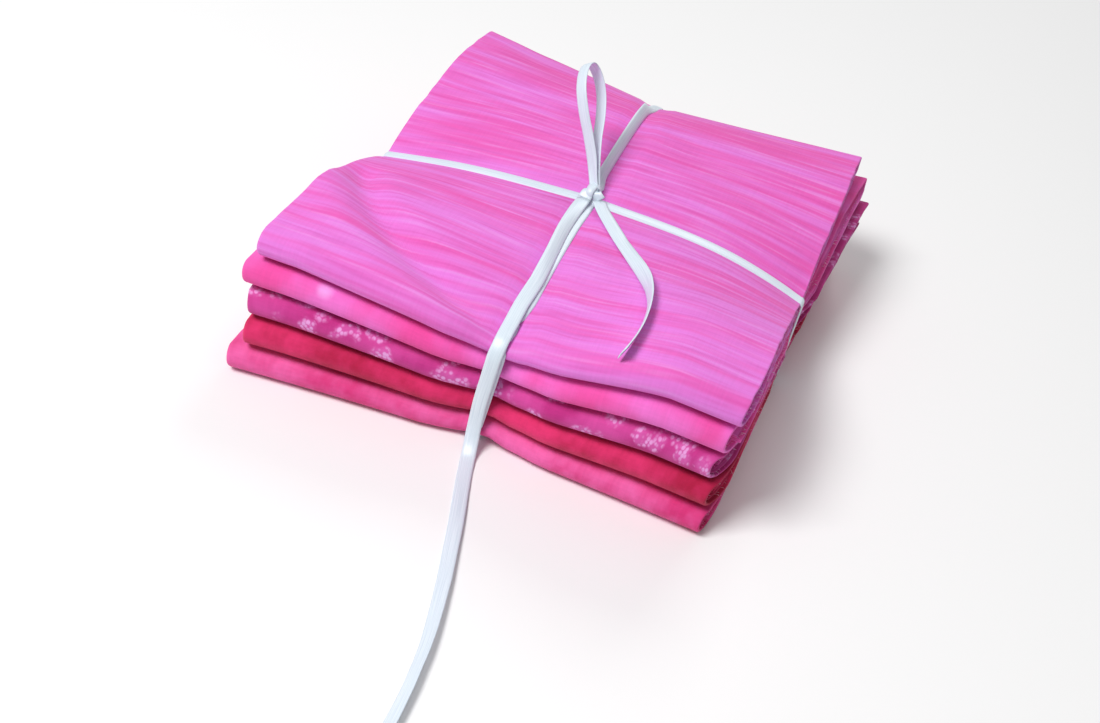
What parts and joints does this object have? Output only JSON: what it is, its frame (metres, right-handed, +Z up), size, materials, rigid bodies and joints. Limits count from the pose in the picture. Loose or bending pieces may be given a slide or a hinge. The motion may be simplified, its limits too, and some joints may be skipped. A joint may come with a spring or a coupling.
{
  "type": "fat quarter bundle",
  "caption": "Stack of folded cuts of pink quilting cotton, tied crosswise with narrow white satin ribbon that has a knot, a loop and two free ends.",
  "frame": {"origin": "on the table, below the middle of the bundle, measured without the ribbon's two free ends", "axes": "X along the front edge, where the folded edges show, Y from the front to the back, Z up from the table"},
  "size_m": [0.1528, 0.2577, 0.0731],
  "materials": {
    "streaked_cotton": "matte printed quilting cotton, streaky print in pink and lilac",
    "spotted_cotton": "matte printed quilting cotton, bright pink with soft pale spots",
    "motif_cotton": "matte printed quilting cotton, magenta with small pale motifs",
    "crimson_cotton": "matte quilting cotton, mottled crimson",
    "rose_cotton": "matte quilting cotton, mottled rose pink",
    "satin_ribbon": "white satin ribbon with a soft sheen"
  },
  "bodies": {
    "root": {"fat_quarter_streaked": "streaked_cotton", "fat_quarter_spotted": "spotted_cotton", "fat_quarter_motif": "motif_cotton", "fat_quarter_crimson": "crimson_cotton", "fat_quarter_rose": "rose_cotton", "ribbon_wrap": "satin_ribbon", "ribbon_knot": "satin_ribbon", "ribbon_loop": "satin_ribbon", "ribbon_tail_short": "satin_ribbon", "ribbon_tail_long": "satin_ribbon"}
  },
  "joints": []
}
